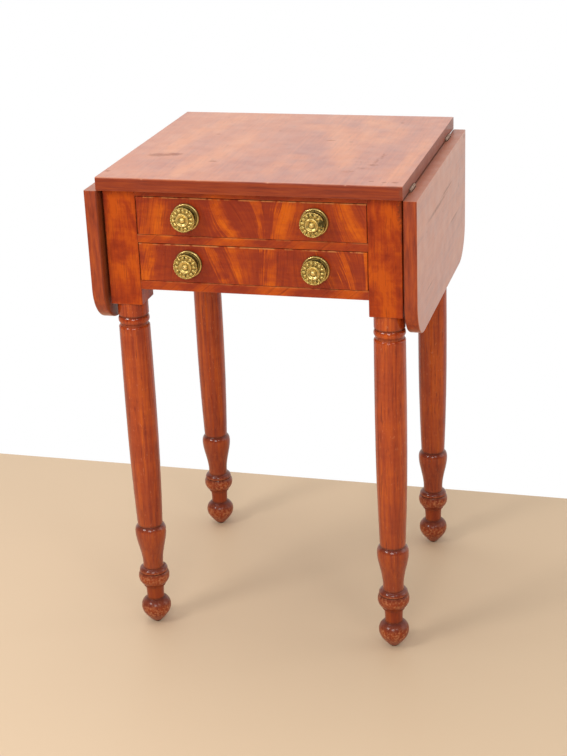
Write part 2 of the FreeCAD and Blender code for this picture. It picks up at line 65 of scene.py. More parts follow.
def makeCamera(look):
    eye = Vector(look["eye"])
    aim = (Vector(look["target"]) - eye).to_track_quat("-Z", "Y")
    roll = Quaternion((0.0, 0.0, 1.0), math.radians(look["rollDegrees"]))
    bpy.ops.object.camera_add(location=eye)
    camera = bpy.context.object
    camera.rotation_euler = (aim @ roll).to_euler()
    camera.data.lens = look["lens"]
    camera.data.sensor_width = look["sensor"]
    bpy.context.scene.camera = camera


floorLook = {
    "front": -4.0,                         # metres along Y
    "back": 0.376,
    "halfWidth": 4.0,
    "colour": (0.7, 0.52, 0.345),          # on the left
    "shadedColour": (0.645, 0.478, 0.312),   # on the right, darker: painted shade
    "shadeFalloff": (-0.8, 0.7),              # metres along X from one colour to the other
    "roughness": 0.55,
}

worldLook = {
    "shine": 1.0,                          # white seen by the camera and reflected from behind the table
    "frontShine": 0.06,                    # what the front of the table reflects
    "lowShine": 0.68,                      # share of the shine left below the horizon
    "rising": (-0.1, 0.55),                # directions along Y from the front shine to the full one
    "horizon": (-0.4, 0.1),                # directions along Z from the low shine to the full one
    "shineColour": (1.0, 0.95, 0.89),
    "fill": 0.55,                          # light from all round on the surfaces
    "fillColour": (1.0, 1.0, 1.0),
}

lampAim = Vector((0.0, 0.0, 0.45))
lampLooks = {
    "leftSoftbox": {"place": (-1.6, -1.9, 2.1), "size": 0.8, "power": 26.0},
    "rightSoftbox": {"place": (1.75, -2.1, 2.35), "size": 0.6, "power": 7.0},
    "frontSoftbox": {"place": (0.35, -2.6, 1.7), "size": 1.0, "power": 22.0},
    "ceilingBounce": {"place": (-0.6, 0.1, 3.2), "size": 2.2, "power": 31.0},
    "sideBounce": {"place": (2.4, 0.3, 1.1), "size": 1.6, "power": 9.0},
}


def makeLamp(name, look):
    place = Vector(look["place"])
    bpy.ops.object.light_add(type="AREA", location=place)
    lamp = bpy.context.object
    lamp.name = name
    lamp.rotation_euler = (lampAim - place).to_track_quat("-Z", "Y").to_euler()
    lamp.data.size = look["size"]
    lamp.data.energy = look["power"]


# Short ways to add shader nodes

def addNode(tree, kind, inputs=None, **settings):
    made = tree.nodes.new("ShaderNode" + kind)
    for name, value in settings.items():
        setattr(made, name, value)
    for socket, value in (inputs or {}).items():
        feed(tree, made.inputs[socket], value)
    return made


def feed(tree, socket, value):
    if isinstance(value, bpy.types.NodeSocket):
        tree.links.new(value, socket)
    elif isinstance(value, tuple) and len(value) == 3 and socket.type == "RGBA":
        socket.default_value = (*value, 1.0)
    else:
        socket.default_value = value


def calc(tree, operation, first, second=0.0, third=0.0):
    return addNode(tree, "Math", {0: first, 1: second, 2: third}, operation=operation).outputs[0]


def vectorCalc(tree, operation, first, second=(0.0, 0.0, 0.0)):
    return addNode(tree, "VectorMath", {0: first, 1: second}, operation=operation).outputs


def remap(tree, value, low, high, toLow=0.0, toHigh=1.0):
    inputs = {"Value": value, "From Min": low, "From Max": high, "To Min": toLow, "To Max": toHigh}
    return addNode(tree, "MapRange", inputs, interpolation_type="SMOOTHSTEP").outputs["Result"]


def remapLinear(tree, value, low, high, toLow=0.0, toHigh=1.0):
    inputs = {"Value": value, "From Min": low, "From Max": high, "To Min": toLow, "To Max": toHigh}
    return addNode(tree, "MapRange", inputs, clamp=False).outputs["Result"]


def mixColour(tree, factor, first, second):
    return addNode(tree, "Mix", {0: factor, 6: first, 7: second}, data_type="RGBA").outputs[2]


def ramp(tree, factor, stops, smooth="LINEAR"):
    made = addNode(tree, "ValToRGB", {"Fac": factor})
    band = made.color_ramp
    band.interpolation = smooth
    while len(band.elements) < len(stops):
        band.elements.new(0.5)
    for element, (place, colour) in zip(band.elements, stops):
        element.position = place
        element.color = (*colour, 1.0) if isinstance(colour, tuple) else (colour, colour, colour, 1.0)
    return made.outputs["Color"]


def startMaterial(name):
    material = bpy.data.materials.new(name)
    material.use_nodes = True
    tree = material.node_tree
    place = addNode(tree, "TexCoord").outputs["Object"]
    return material, tree, tree.nodes["Principled BSDF"], place


def axesOf(tree, vector):
    return addNode(tree, "SeparateXYZ", {0: vector}).outputs


def facing(tree):
    return axesOf(tree, addNode(tree, "TexCoord").outputs["Normal"])


def noise(tree, place, scale, detail, roughness=0.55, distortion=0.0):
    # a scale of three numbers stretches the pattern along X, Y and Z
    if isinstance(scale, tuple):
        place = addNode(tree, "Mapping", {"Vector": place, "Scale": scale}).outputs["Vector"]
        scale = 1.0
    inputs = {"Vector": place, "Scale": scale, "Detail": detail, "Roughness": roughness,
              "Distortion": distortion}
    return addNode(tree, "TexNoise", inputs).outputs["Fac"]


maskLook = {
    "edge": (0.995, 0.8),      # cosines of the rounded normal's lean: a face, a sharp edge
    "edgeSamples": 6,
    "hollow": (0.9, 0.42),     # shares of open space round a point: a face, a hollow
}


def edgeMask(tree, width):
    # how far the rounded normal leans away from the face: near 1 along a sharp edge
    rounded = addNode(tree, "Bevel", {"Radius": width}, samples=maskLook["edgeSamples"]).outputs["Normal"]
    flat = addNode(tree, "NewGeometry").outputs["Normal"]
    return remap(tree, vectorCalc(tree, "DOT_PRODUCT", rounded, flat)["Value"], *maskLook["edge"])


def hollowMask(tree, look):
    # near 1 in corners, grooves and gaps: where polish, dust and patina gather, and on the woods where
    # painted shade falls
    reach = {"Distance": look["hollowReach"]}
    made = addNode(tree, "AmbientOcclusion", reach, samples=look["hollowSamples"])
    return remap(tree, made.outputs["AO"], *maskLook["hollow"])


# Floor and world

def makeFloor(look):
    bpy.ops.object.select_all(action="DESELECT")
    bpy.ops.mesh.primitive_plane_add(size=1.0)
    floor = bpy.context.object
    floor.name = "studioFloor"
    floor.scale = (2 * look["halfWidth"], look["back"] - look["front"], 1.0)
    floor.location = (0.0, (look["back"] + look["front"]) / 2, 0.0)
    bpy.ops.object.transform_apply()
    material, tree, shader, place = startMaterial("paleFloor")
    # painted shade: the floor darkens towards the right, away from the light on the left
    deep = remap(tree, axesOf(tree, place)["X"], *look["shadeFalloff"])
    feed(tree, shader.inputs["Base Color"], mixColour(tree, deep, look["colour"], look["shadedColour"]))
    shader.inputs["Roughness"].default_value = look["roughness"]
    floor.data.materials.append(material)


def makeWorld(look):
    world = bpy.data.worlds.new("studioWorld")
    bpy.context.scene.world = world
    world.use_nodes = True
    tree = world.node_tree
    light = tree.nodes["Background"]
    rays = addNode(tree, "LightPath").outputs
    toward = axesOf(tree, addNode(tree, "TexCoord").outputs["Generated"])
    shine = remap(tree, toward["Y"], *look["rising"], look["frontShine"], look["shine"])
    shine = calc(tree, "MULTIPLY", shine, remap(tree, toward["Z"], *look["horizon"], look["lowShine"], 1.0))
    mirrored = calc(tree, "MAXIMUM", rays["Is Glossy Ray"], rays["Is Transmission Ray"])
    strength = addNode(tree, "Mix", {0: mirrored, 2: look["fill"], 3: shine}).outputs[0]
    strength = addNode(tree, "Mix", {0: rays["Is Camera Ray"], 2: strength, 3: look["shine"]}).outputs[0]
    feed(tree, light.inputs["Strength"], strength)
    feed(tree, light.inputs["Color"], mixColour(tree, mirrored, look["fillColour"], look["shineColour"]))


makeCamera(cameraLook)
makeWorld(worldLook)
makeFloor(floorLook)
for lampName, lampLook in lampLooks.items():
    makeLamp(lampName, lampLook)
bpy.context.scene.view_settings.view_transform = "Standard"
print("camera, floor and light are set")


# Woods. In every look, a noise is its scale, detail, roughness and distortion, limits are the values
# between which a pattern fades in, and a share is how much of a pattern or colour is laid on

mahoganyLook = {
    "along": "z",
    "dark": (0.28, 0.03, 0.006),
    "middle": (0.4, 0.055, 0.008),
    "light": (0.54, 0.091, 0.006),
    "figureStops": (0.28, 0.5, 0.74),
    "broad": 42.0, "streak": 230.0, "ripple": 26.0, "mottle": 24.0,
    "broadShare": 0.6, "streakShare": 1.0, "rippleShare": 0.15, "mottleShare": 0.4,
    "poreAcross": 900.0, "poreAlong": 38.0, "poreDetail": 1.0, "poreLimits": (0.62, 0.74),
    "poreColour": (0.14, 0.017, 0.006), "poreShare": 0.5,
    "wearNoise": (38.0, 4.0), "wearLimits": (0.36, 0.6),
    "edgeColour": (0.58, 0.17, 0.06), "edgeWidth": 1.0 * millimetre, "edgeShare": 0.5,
    # the dark of corners, grooves and gaps: dust, and painted shade
    "hollowColour": (0.05, 0.01, 0.007), "hollowReach": 4.0 * millimetre, "hollowShare": 0.9,
    "hollowSamples": 6,
    "roughness": 0.36, "roughLimits": (0.3, 0.7), "smoother": 0.06, "rougher": 0.08, "dustRough": 0.2,
    "specular": 0.16, "coat": 0.24, "coatRoughness": 0.06,
    "relief": 0.22, "reliefDepth": 0.15 * millimetre, "streakRelief": 0.5,
    "glowFray": 0.8, "shadeFray": 0.8,     # how ragged the outlines of patches are
}

# layers of the figure: scale along the grain as a share of the scale across it, then detail
figureLayers = {"broad": (0.11, 3.0), "streak": (0.03, 4.0), "ripple": (6.0, 2.0), "mottle": (1.4, 3.0)}
middleTone = 0.5


def grainScale(along, across, lengthwise):
    scale = [across, across, across]
    scale["xyz".index(along)] = lengthwise
    return tuple(scale)


def addPattern(tree, figure, pattern, share, middle=middleTone):
    return calc(tree, "MULTIPLY_ADD", calc(tree, "SUBTRACT", pattern, middle), share, figure)


def woodFigure(tree, place, look):
    # all layers together, from dark (0) to light (1), and the fine streaks by themselves
    figure = middleTone
    patterns = {}
    for name, (ratio, detail) in figureLayers.items():
        scale = grainScale(look["along"], look[name], look[name] * ratio)
        patterns[name] = noise(tree, place, scale, detail)
        figure = addPattern(tree, figure, patterns[name], look[name + "Share"])
    return figure, patterns["streak"]


def porePattern(tree, place, look):
    scale = grainScale(look["along"], look["poreAcross"], look["poreAlong"])
    return remap(tree, noise(tree, place, scale, look["poreDetail"]), *look["poreLimits"])


def toned(tree, pattern, places, *colours):
    # a pattern's values turned to colours
    return ramp(tree, pattern, tuple(zip(places, colours)))


def figureColour(tree, figure, look):
    return toned(tree, figure, look["figureStops"], look["dark"], look["middle"], look["light"])


def layer(tree, under, pattern, look, kind):
    # a colour of the look laid over another by a pattern
    share = calc(tree, "MULTIPLY", pattern, look[kind + "Share"])
    return mixColour(tree, share, under, look[kind + "Colour"])


def limited(tree, place, look, kind):
    # a noise of the look, faded in between its limits
    return remap(tree, noise(tree, place, *look[kind + "Noise"]), *look[kind + "Limits"])


# Patches: each is six sizes in millimetres, its middle along X, Y and Z and then its reach

patchLook = {
    "fade": (1.0, 0.3),        # shares of the reach where a patch begins and where it is full
    "frayNoise": (300.0, 4.0),
    "frontDepth": 20.0,        # reach into the table of patches on its front
    "leafDepth": 3.0,          # and on the leaves
}


def patchAt(tree, place, patch, frayed):
    # 1 in the middle of a patch, fading to 0 at its frayed outline
    sizes = [size * millimetre for size in patch]
    moved = vectorCalc(tree, "SUBTRACT", place, tuple(sizes[:3]))[0]
    share = vectorCalc(tree, "DIVIDE", moved, tuple(sizes[3:]))[0]
    reach = vectorCalc(tree, "LENGTH", share)["Value"]
    return remap(tree, calc(tree, "ADD", reach, frayed), *patchLook["fade"])


def anyPatch(tree, place, look, kind):
    found = 0.0
    frayed = addPattern(tree, 0.0, noise(tree, place, *patchLook["frayNoise"]), look[kind + "Fray"])
    for patch in look[kind + "s"]:
        found = calc(tree, "MAXIMUM", found, patchAt(tree, place, patch, frayed))
    return found


def addPatches(tree, place, figure, look):
    # brighter and darker patches at their own places
    for kind in ("glow", "shade"):
        found = anyPatch(tree, place, look, kind)
        figure = calc(tree, "MULTIPLY_ADD", found, look[kind + "Share"], figure)
    return figure


def onFront(spots):
    # spots on the front of the table: place along X and Z, then reach along X and Z
    depth = patchLook["frontDepth"]
    return tuple((x, postFront, z, reachX, depth, reachZ) for x, z, reachX, reachZ in spots)


def onTop(depth, spots):
    # spots on the top: place along X and Y, reach along X and Y, then a lift that makes a fainter one
    return tuple((x, y, topFace + lift, reachX, reachY, depth) for x, y, reachX, reachY, lift in spots)


def onLeaf(side, spots):
    # spots on the right (1) or left (-1) leaf: place along Y and Z, then reach along Y and Z
    depth = patchLook["leafDepth"]
    return tuple((side * leafFace, y, z, depth, reachY, reachZ) for y, z, reachY, reachZ in spots)


def finishWood(tree, shader, place, colour, streak, pores, look, polish=None):
    # wear, dust and painted shade in the hollows, polish and the grain's own relief
    patches = noise(tree, place, *look["wearNoise"])
    worn = remap(tree, patches, *look["wearLimits"])
    worn = calc(tree, "MULTIPLY", edgeMask(tree, look["edgeWidth"]), worn)
    hollow = hollowMask(tree, look)
    colour = layer(tree, colour, pores, look, "pore")
    # corners, grooves and gaps darkened: dust, and painted shade
    colour = layer(tree, colour, hollow, look, "hollow")
    colour = layer(tree, colour, worn, look, "edge")
    feed(tree, shader.inputs["Base Color"], colour)
    smoothest = look["roughness"] - look["smoother"]
    roughest = look["roughness"] + look["rougher"]
    rough = remap(tree, patches, *look["roughLimits"], smoothest, roughest)
    rough = calc(tree, "MULTIPLY_ADD", hollow, look["dustRough"] * look["hollowShare"], rough)
    feed(tree, shader.inputs["Roughness"], rough)
    shader.inputs["Specular IOR Level"].default_value = look["specular"]
    feed(tree, shader.inputs["Coat Weight"], polish or look["coat"])
    shader.inputs["Coat Roughness"].default_value = look["coatRoughness"]
    height = calc(tree, "SUBTRACT", calc(tree, "MULTIPLY", streak, look["streakRelief"]), pores)
    inputs = {"Height": height, "Strength": look["relief"], "Distance": look["reliefDepth"]}
    feed(tree, shader.inputs["Normal"], addNode(tree, "Bump", inputs).outputs["Normal"])


def makeWood(name, look):
    material, tree, shader, place = startMaterial(name)
    figure, streak = woodFigure(tree, place, look)
    colour = figureColour(tree, figure, look)
    finishWood(tree, shader, place, colour, streak, porePattern(tree, place, look), look)
    return material


# Turned legs: mottled posts, dark grain dashes and painted glints on the shafts, and towards the floor a
# darker tone, scuffs and a film of dust on what faces up. Heights and what is measured from them are in
# metres

legLook = dict(
    mahoganyLook,
    postEdge=(0.536, 0.54),              # heights where the shaft ends and where the post begins
    postShare=0.95, postCoat=0.22,
    postDark=(0.23, 0.021, 0.005), postMiddle=(0.36, 0.041, 0.005), postLight=(0.52, 0.081, 0.004),
    postStops=(0.22, 0.5, 0.78),
    cloudNoise=((30.0, 30.0, 17.0), 5.0, 0.62, 0.6), cloudShare=1.9,
    curlNoise=((30.0, 30.0, 190.0), 2.0), curlShare=0.3,
    postStreakShare=0.5,
    glows=onFront(((200, 680, 13, 28), (193, 590, 14, 20), (-202, 685, 12, 28), (-193, 590, 14, 18))),
    shades=onFront(((173, 660, 9, 34), (190, 627, 24, 9), (172, 575, 9, 14), (-178, 665, 10, 36),
                    (-196, 628, 22, 10), (-196, 545, 26, 9))),
    glowShare=0.2, shadeShare=-0.17,
    # dark strips down the posts' outer edges: a stain on the right post, and on the left post painted shade
    # in the gap beside the leaf
    stains=((215, postFront, 692, 8, 16, 26), (216, postFront, 655, 4, 14, 30),
            (216, postFront, 625, 3, 12, 24), (-216, postFront, 650, 3, 14, 70)),
    stainColour=(0.12, 0.022, 0.009), stainShare=0.75, stainFray=2.0,
    dashColour=(0.17, 0.015, 0.006), dashShare=0.7,
    dashNoise=((360.0, 360.0, 30.0), 3.0, 0.5, 0.6), dashLimits=(0.57, 0.7),
    # pale flecks along the grain: painted glints
    glintFleckColour=(0.62, 0.2, 0.08), glintFleckShare=0.35,
    glintFleckNoise=((420.0, 420.0, 150.0), 2.0), glintFleckLimits=(0.64, 0.72),
    # the legs grow darker towards the floor
    grimeColour=(0.17, 0.027, 0.009), grimeShare=0.66, grimeHeights=(0.36, 0.0),
    # heights of the grooves between the turnings, and how far their dark bands reach from them: dirt, and
    # painted shade
    grooves=((0.0435, 0.003), (0.068, 0.0025), (0.0909, 0.0016), (0.0988, 0.0022), (0.1725, 0.003),
             (0.5025, 0.0028), (0.5165, 0.002)),
    grooveColour=(0.05, 0.01, 0.008), grooveShare=0.85,
    scuffColour=(0.56, 0.21, 0.085), scuffShare=0.8,
    scuffNoise=(240.0, 6.0, 0.75), scuffLimits=(0.46, 0.62),
    scuffTop=0.11,                       # the places of the stops are shares of this height
    scuffStops=((0.0, 0.2), (0.2, 1.0), (0.34, 0.6), (0.42, 0.0), (0.62, 0.0), (0.68, 0.75), (0.82, 0.85),
                (0.88, 0.2), (1.0, 0.0)),
    dustColour=(0.13, 0.03, 0.02), dustShare=0.6, dustHeights=(0.26, 0.156), dustFacing=(0.05, 0.6),
    specular=0.1, coat=0.74, coatRoughness=0.08,
    wornHeights=(0.066, 0.11), wornPolish=0.45,     # the polish is worn to this share at the feet
)


def postColour(tree, place, streak, look):
    cloud = middleTone
    for kind in ("cloud", "curl"):
        cloud = addPattern(tree, cloud, noise(tree, place, *look[kind + "Noise"]), look[kind + "Share"])
    cloud = addPattern(tree, cloud, streak, look["postStreakShare"])
    cloud = addPatches(tree, place, cloud, look)
    return toned(tree, cloud, look["postStops"], look["postDark"], look["postMiddle"], look["postLight"])


def wearDirtAndShade(tree, place, height, colour, look):
    # darker towards the floor
    colour = layer(tree, colour, remap(tree, height, *look["grimeHeights"]), look, "grime")
    low = ramp(tree, remapLinear(tree, height, 0.0, look["scuffTop"]), look["scuffStops"])
    scuffs = calc(tree, "MULTIPLY", limited(tree, place, look, "scuff"), low)
    colour = layer(tree, colour, scuffs, look, "scuff")
    stops = [(0.0, 0.0)]
    for groove, reach in look["grooves"]:
        stops += [(groove - reach, 0.0), (groove, 1.0), (groove + reach, 0.0)]
    # dark bands at the grooves: dirt, and painted shade in them
    colour = layer(tree, colour, ramp(tree, height, stops), look, "groove")
    upward = remap(tree, facing(tree)["Z"], *look["dustFacing"])
    film = calc(tree, "MULTIPLY", upward, remap(tree, height, *look["dustHeights"]))
    return layer(tree, colour, film, look, "dust")


def makeLegWood(name, look):
    material, tree, shader, place = startMaterial(name)
    figure, streak = woodFigure(tree, place, look)
    height = axesOf(tree, place)["Z"]
    colour = figureColour(tree, figure, look)
    # dark grain dashes, and pale flecks that are painted glints
    for kind in ("dash", "glintFleck"):
        colour = layer(tree, colour, limited(tree, place, look, kind), look, kind)
    onPost = remap(tree, height, *look["postEdge"], 0.0, look["postShare"])
    colour = mixColour(tree, onPost, colour, postColour(tree, place, streak, look))
    # dark edge strips: a stain, and painted shade beside the left leaf
    colour = layer(tree, colour, anyPatch(tree, place, look, "stain"), look, "stain")
    colour = wearDirtAndShade(tree, place, height, colour, look)
    polish = remap(tree, height, *look["postEdge"], look["coat"], look["postCoat"])
    polishLeft = remap(tree, height, *look["wornHeights"], look["wornPolish"], 1.0)
    polish = calc(tree, "MULTIPLY", polish, polishLeft)
    finishWood(tree, shader, place, colour, streak, porePattern(tree, place, look), look, polish)
    return material


# Top and leaves: grain from front to back, darker at its ends, and the marks of use

topLook = dict(
    mahoganyLook, along="y",
    dark=(0.37, 0.083, 0.05), middle=(0.5, 0.13, 0.052), light=(0.62, 0.188, 0.06),
    broad=20.0, broadShare=0.4, streakShare=0.45, rippleShare=0.02, mottle=30.0, mottleShare=0.3,
    # light and dark bands: millimetres from the middle, then their lean (run over rise)
    # and brightness there
    halfWidth=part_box("top_board")[1].x, leanReach=1.0, bandShare=0.62,
    leans=((-219, 0.06), (-60, -0.07), (0, -0.25), (80, -0.45), (160, -0.4), (219, -0.3)),
    bright=((-219, 0.5), (-160, 0.54), (-110, 0.44), (-62, 0.52), (-20, 0.4), (40, 0.38), (90, 0.4),
            (140, 0.46), (219, 0.46)),
    # how far the bands wander and fray
    wanderNoise=((9.0, 4.0, 9.0), 2.0), wanderReach=70.0 * millimetre,
    fibreNoise=((90.0, 9.0, 90.0), 4.0, 0.6), fibreReach=90.0 * millimetre,
    # on the left two long streaks, in the middle a swirl and a flame, on the right a ring and an edge,
    # and at the back a pale stretch, which is a painted sheen
    glows=onTop(depth=5, spots=(
        (-160, -15, 18, 75, 0), (-150, 62, 24, 85, 0), (-134, 118, 24, 75, 0), (-116, 165, 20, 50, 0),
        (-72, 22, 24, 80, 0), (-82, -50, 22, 70, 0), (-94, -110, 22, 70, 0), (-106, -162, 18, 45, 0),
        (18, -150, 16, 36, 0), (22, -105, 16, 52, 0), (54, -118, 26, 40, 0), (36, -68, 32, 26, 0),
        (14, 120, 34, 34, 0), (42, 114, 30, 38, 0), (62, 88, 26, 52, 0), (78, 42, 24, 70, 0),
        (94, -12, 26, 66, 0), (106, -58, 25, 60, 0), (114, -96, 17, 40, 0),
        (106, 162, 32, 34, 0), (132, 136, 26, 40, 0), (152, 92, 26, 62, 0), (112, 66, 17, 60, 0),
        (136, 42, 30, 30, 0),
        (208, 10, 13, 75, 0), (203, -60, 13, 75, 0), (198, -130, 13, 75, 0),
        # the last glow, the pale stretch at the back, is a painted sheen
        (-40, 195, 240, 105, 3))),
    shades=onTop(depth=5, spots=(
        (80, -104, 32, 56, 0), (-18, -100, 32, 62, 0), (78, 146, 20, 44, 0), (170, -50, 28, 90, 0),
        (-46, -130, 28, 52, 0), (128, 106, 15, 24, 0), (-158, -125, 46, 52, 0), (46, -30, 40, 62, 2.5))),
    glowShare=0.2, shadeShare=-0.13,
    endColour=(0.265, 0.033, 0.006), endDark=(0.185, 0.021, 0.005), endLight=(0.345, 0.053, 0.007),
    endStops=(0.34, 0.5, 0.68), endNoise=((16.0, 45.0, 330.0), 5.0, 0.65),
    endFacing=(0.25, 0.8), endPolish=0.06,
    innerColour=(0.16, 0.022, 0.008), innerShare=0.65,     # faces turned towards the table: left unpolished, and darkened with painted shade
    innerTurn=(-0.05, -0.15),
    # the faces of the joint, the sides of the top and the upper edges of the leaves: dull, and darkened
    # with painted shade
    jointColour=(0.24, 0.045, 0.02), jointShare=0.75, jointSides=1.0, jointTops=0.0,
    jointFacing=(0.5, 0.85), dullPolish=0.35,
    lipColour=(0.56, 0.2, 0.085), lipShare=0.55,           # the worn upper edge of the ends
    lipFacing=(0.2, 0.5), lipRise=(0.3, 0.6), lipLimits=(0.36, 0.56),
    roughness=0.42, specular=0.4, coat=0.95, coatRoughness=0.3, edgeShare=0.6,
    # a stain on the left, scratches in a hook on the right, then dots, and two marks on the front edge
    markColour=(0.2, 0.055, 0.027), markShare=0.55, markFray=1.4,
    marks=onTop(depth=2, spots=(
        (-171, -76, 20, 13, 0), (-148, -70, 17, 11, 0), (-159, -75, 14, 9, 0),
        (160, -52, 5, 30, 1.2), (156, -80, 5, 30, 1.2), (156, -101, 11, 9, 0.9), (144, -120, 16, 10, 1.3),
        (130, -139, 16, 10, 1.3), (134, -85, 34, 5, 1.4),
        (205, -190, 6, 5, 0), (190, -191, 5, 4, 0), (172, -187, 5, 4, 0), (-79, -104, 9, 4, 0),
        (64, 36, 10, 3, 0), (96, 30, 5, 3, 0), (148, 160, 4, 4, 0), (-120, 60, 5, 2, 0),
        (-213, -174, 6, 6, 0), (-30, 90, 3, 2, 0),
    )) + ((207, topFront, topFace - 1, 13, 2.5, 2.5), (217, topFront, topFace - 9, 4, 3, 9)),
    chipColour=(0.62, 0.3, 0.17), chipShare=0.8, chipFray=2.0,
    chips=onTop(depth=2, spots=(
        (-67, topFront, 3.5, 1.8, 0), (33, topFront, 5.0, 2.2, 0), (-150, topFront, 2.0, 1.2, 0),
        (140, topFront, 2.5, 1.4, 0))),
)

leafLook = dict(
    # the leaves are lighter than the top: painted light, for the light and glare on their outer faces
    topLook, dark=(0.43, 0.093, 0.033), middle=(0.57, 0.143, 0.035), light=(0.67, 0.195, 0.042),
    bandShare=0.0, glows=(), shades=(), broadShare=0.6, streakShare=0.5, specular=0.55,
    poreShare=0.3, jointShare=0.6, jointSides=0.0, jointTops=1.0, dullPolish=0.5, markShare=0.5,
    endColour=(0.315, 0.038, 0.003), endDark=(0.2, 0.021, 0.002), endLight=(0.42, 0.065, 0.003),
    endNoise=((260.0, 260.0, 30.0), 5.0, 0.65),
    # scratches and dents on the outer faces, and a chip on the front edge of each leaf
    marks=onLeaf(side=1, spots=(
        (-45, 657, 110, 4), (30, 662, 60, 3), (-2, 638, 2.5, 2.5), (-134, 646, 3, 3), (-113, 560, 40, 1.5),
        (100, 600, 60, 2), (140, 640, 4, 6), (196, 703, 12, 5), (208, 640, 3, 60),
    )) + onLeaf(side=-1, spots=((40, 620, 80, 2), (-90, 560, 50, 2))),
    chips=((leafFace, -205, 600, 4, 3, 14), (-leafFace, -205, 660, 4, 3, 10)),
)


def overWidth(stops, halfWidth, low=0.0, high=1.0):
    # millimetres from the middle to shares of the width, and values to shares of their range
    half = halfWidth / millimetre
    return [((place + half) / (2 * half), (value - low) / (high - low)) for place, value in stops]


def leaning(tree, across, rise, look):
    # the place across the figure, with the lean of the figure taken off
    half = look["halfWidth"]
    reach = look["leanReach"]
    stops = overWidth(look["leans"], half, -reach, reach)
    share = ramp(tree, remapLinear(tree, across, -half, half), stops)
    lean = remapLinear(tree, share, 0.0, 1.0, -reach, reach)
    return calc(tree, "SUBTRACT", across, calc(tree, "MULTIPLY", lean, rise))


def bandsAcross(tree, sheared, look):
    half = look["halfWidth"]
    return ramp(tree, remapLinear(tree, sheared, -half, half), overWidth(look["bright"], half), "EASE")


def topFigure(tree, place, axes, figure, look):
    sheared = leaning(tree, axes["X"], axes["Y"], look)
    for kind in ("wander", "fibre"):
        sheared = addPattern(tree, sheared, noise(tree, place, *look[kind + "Noise"]), look[kind + "Reach"])
    figure = addPattern(tree, figure, bandsAcross(tree, sheared, look), look["bandShare"])
    return addPatches(tree, place, figure, look)


def makeTopWood(name, look):
    material, tree, shader, place = startMaterial(name)
    figure, streak = woodFigure(tree, place, look)
    axes = axesOf(tree, place)
    normal = facing(tree)
    colour = figureColour(tree, topFigure(tree, place, axes, figure, look), look)
    endwise = calc(tree, "ABSOLUTE", normal["Y"])
    grime = noise(tree, place, *look["endNoise"])
    endGrain = toned(tree, grime, look["endStops"], look["endDark"], look["endColour"], look["endLight"])
    colour = mixColour(tree, remap(tree, endwise, *look["endFacing"]), colour, endGrain)
    lip = remap(tree, endwise, *look["lipFacing"])
    lip = calc(tree, "MULTIPLY", lip, remap(tree, normal["Z"], *look["lipRise"]))
    lip = calc(tree, "MULTIPLY", lip, remap(tree, grime, *look["lipLimits"]))
    colour = layer(tree, colour, lip, look, "lip")
    joint = calc(tree, "MULTIPLY", calc(tree, "ABSOLUTE", normal["X"]), look["jointSides"])
    joint = calc(tree, "MULTIPLY_ADD", normal["Z"], look["jointTops"], joint)
    joint = remap(tree, joint, *look["jointFacing"])
    # the joint faces darkened: painted shade under the top
    colour = layer(tree, colour, joint, look, "joint")
    marked = anyPatch(tree, place, look, "mark")
    colour = layer(tree, colour, marked, look, "mark")
    colour = layer(tree, colour, anyPatch(tree, place, look, "chip"), look, "chip")
    # x times the normal's x is well below nothing only on the inner faces of the leaves
    inner = remap(tree, calc(tree, "MULTIPLY", axes["X"], normal["X"]), *look["innerTurn"])
    # the inner faces darkened: painted shade
    colour = layer(tree, colour, inner, look, "inner")
    bare = calc(tree, "MAXIMUM", endwise, inner)
    polish = remap(tree, bare, *look["endFacing"], look["coat"], look["endPolish"])
    dull = calc(tree, "MAXIMUM", joint, marked)
    polish = calc(tree, "MULTIPLY", polish, remapLinear(tree, dull, 0.0, 1.0, 1.0, look["dullPolish"]))
    finishWood(tree, shader, place, colour, streak, porePattern(tree, place, look), look, polish)
    return material


# Flame veneer: stops are millimetres from the middle of the front, with the lean of the figure
# (run over rise) and its brightness there, and then its brighter and darker stretches

upperFlame = {
    "leans": ((-166, 0.2), (-125, 0.2), (-95, 0.0), (-55, -0.31), (-30, -0.7), (0, -0.4), (15, -0.21),
              (30, 0.1), (45, 0.34), (65, 0.28), (95, 0.0), (125, -0.3), (152, -0.5)),
    "bright": ((-162, 0.12), (-153, 0.5), (-141, 0.62), (-128, 0.85), (-121, 0.14), (-90, 0.06),
               (-59, 0.12), (-50, 0.85), (-41, 1.0), (-33, 0.5), (-25, 0.1), (7, 0.06), (11, 0.8),
               (19, 0.72), (22, 0.05), (32, 0.05), (37, 0.72), (50, 0.96), (60, 0.75), (67, 0.16),
               (73, 0.4), (78, 0.06), (118, 0.1), (129, 0.55), (142, 0.92), (150, 0.7), (158, 0.25)),
    "glows": onFront(((-38, 664, 13, 13), (-26, 652, 14, 9))),
    "shades": onFront(((-58, 697, 16, 12),)),
}

lowerFlame = {
    "leans": ((-166, 0.25), (-130, 0.2), (-95, 0.0), (-60, -0.42), (-23, -0.36), (5, 0.0), (27, 0.16),
              (60, 0.0), (100, -0.5), (137, -0.36), (163, 0.0)),
    "bright": ((-166, 0.35), (-158, 0.72), (-147, 0.85), (-140, 0.1), (-100, 0.05), (-59, 0.08), (-55, 0.7),
               (-50, 0.75), (-46, 0.1), (-30, 0.1), (-26, 0.8), (-19, 0.7), (-15, 0.2), (-5, 0.3), (8, 0.1),
               (16, 0.15), (20, 0.9), (33, 0.85), (37, 0.1), (70, 0.06), (100, 0.1), (106, 0.6), (112, 0.3),
               (118, 0.08), (131, 0.08), (135, 0.8), (141, 0.75), (145, 0.1), (158, 0.08), (163, 0.7)),
    "glows": (),
    "shades": onFront(((-50, 632, 12, 8), (-44, 588, 14, 8))),
}

